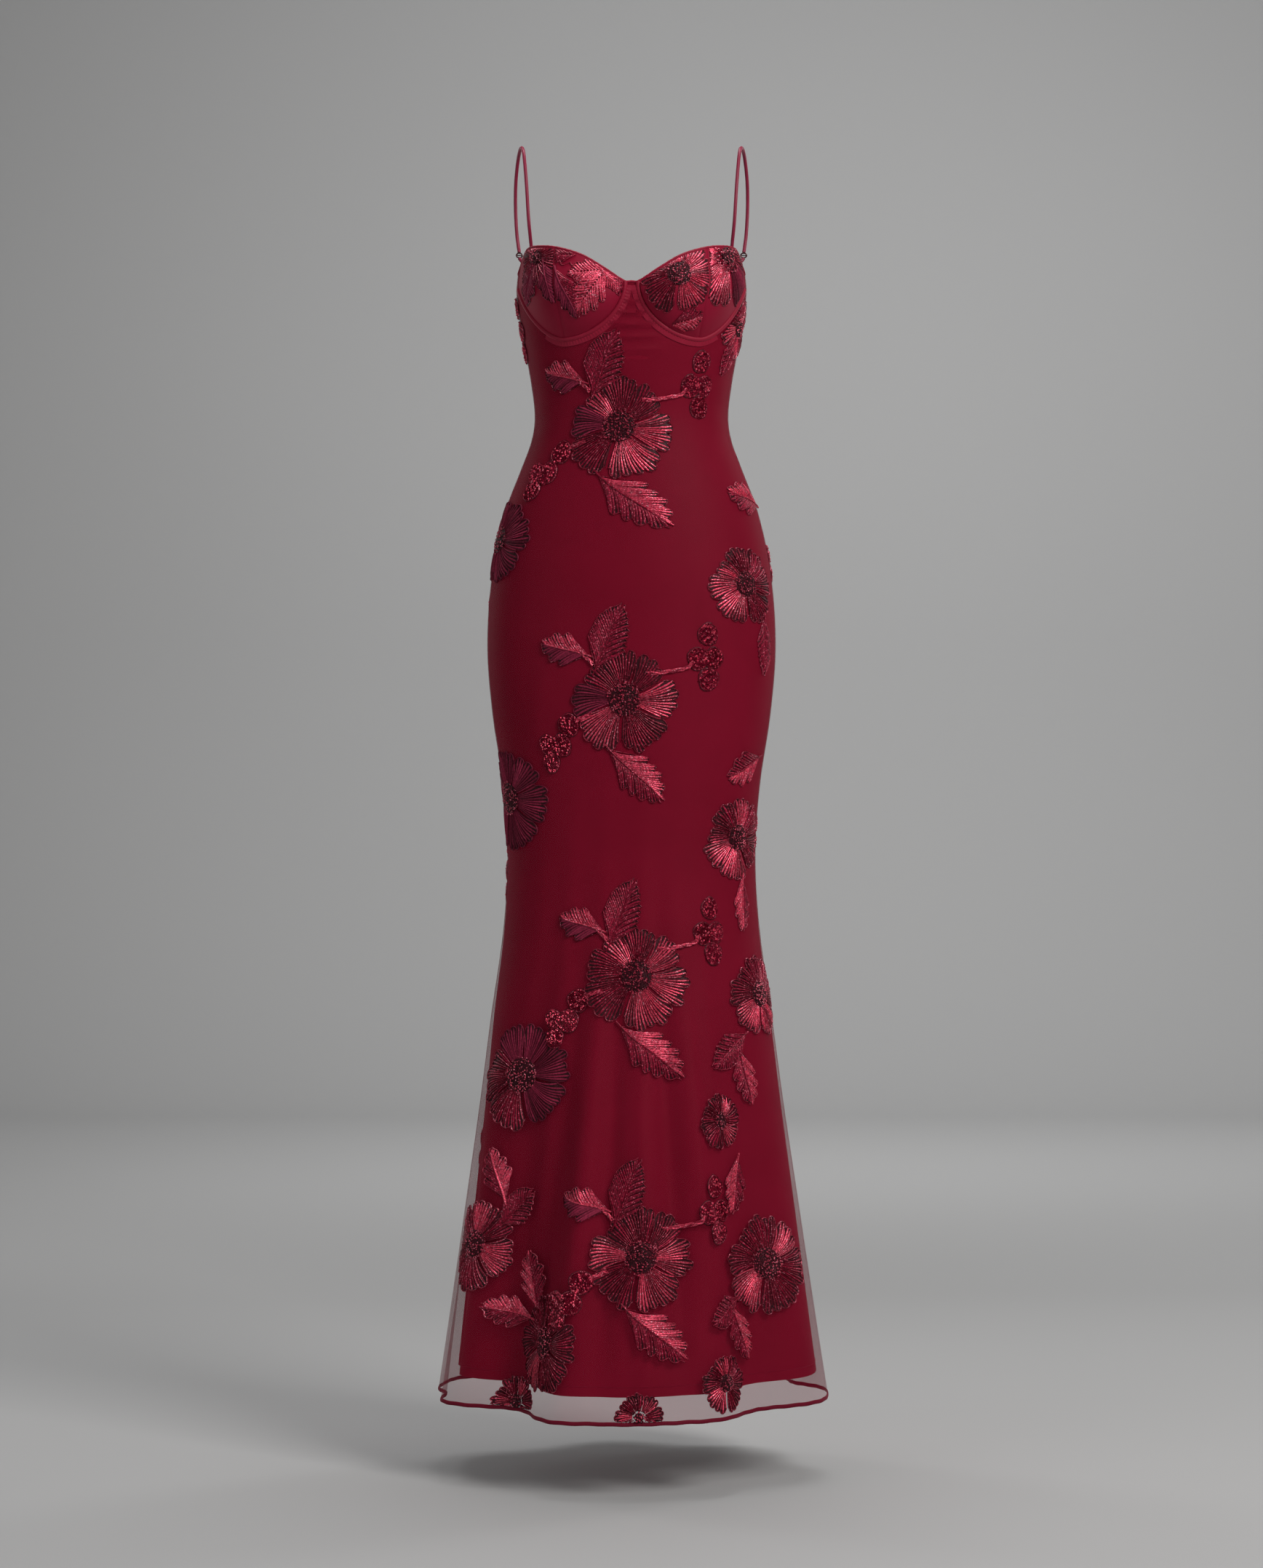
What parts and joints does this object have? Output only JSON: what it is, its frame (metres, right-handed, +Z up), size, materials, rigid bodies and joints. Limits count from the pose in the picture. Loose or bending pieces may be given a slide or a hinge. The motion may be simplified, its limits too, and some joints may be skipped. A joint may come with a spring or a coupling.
{
  "type": "corset maxi dress",
  "caption": "Floor-length mermaid dress with underwired cups and thin straps, in sheer mesh with raised floral embroidery over an opaque lining, hollow as worn.",
  "frame": {"origin": "midway between the places where the two straps rest on the wearer's shoulders, level with the top of the straps", "axes": "+Z up along the body, -Y out of the dress's front, +X towards the wearer's left"},
  "size_m": [0.4515, 0.4059, 1.447],
  "materials": {
    "embroidered_mesh": "matt sheer mesh with thick satin-thread embroidery",
    "lining_jersey": "smooth matt jersey",
    "casing_cloth": "smooth matt, gathered",
    "strap_satin": "low satin sheen",
    "zip_tape_cloth": "woven matt",
    "dark_metal": "dark enamel"
  },
  "bodies": {
    "dress": {"overlay_front": "embroidered_mesh", "overlay_back_left": "embroidered_mesh", "overlay_back_right": "embroidered_mesh", "lining_front": "lining_jersey", "lining_back_left": "lining_jersey", "lining_back_right": "lining_jersey", "cup_inner_left": "embroidered_mesh", "cup_outer_left": "embroidered_mesh", "cup_inner_right": "embroidered_mesh", "cup_outer_right": "embroidered_mesh", "wire_casing_left": "casing_cloth", "wire_casing_right": "casing_cloth", "strap_left": "strap_satin", "strap_right": "strap_satin", "strap_tab_left": "strap_satin", "strap_tab_right": "strap_satin", "strap_slider_left": "dark_metal", "strap_slider_right": "dark_metal", "zip_tape": "zip_tape_cloth", "zip_slider": "dark_metal"},
    "pull": {"zip_pull": "dark_metal"}
  },
  "joints": [
    {"name": "zip_pull_hinge", "type": "hinge", "parent": "dress", "child": "pull", "pos_m": [0, 0.08942, -0.175], "axis": [1, 0, 0], "range_deg": [0, 160]}
  ]
}
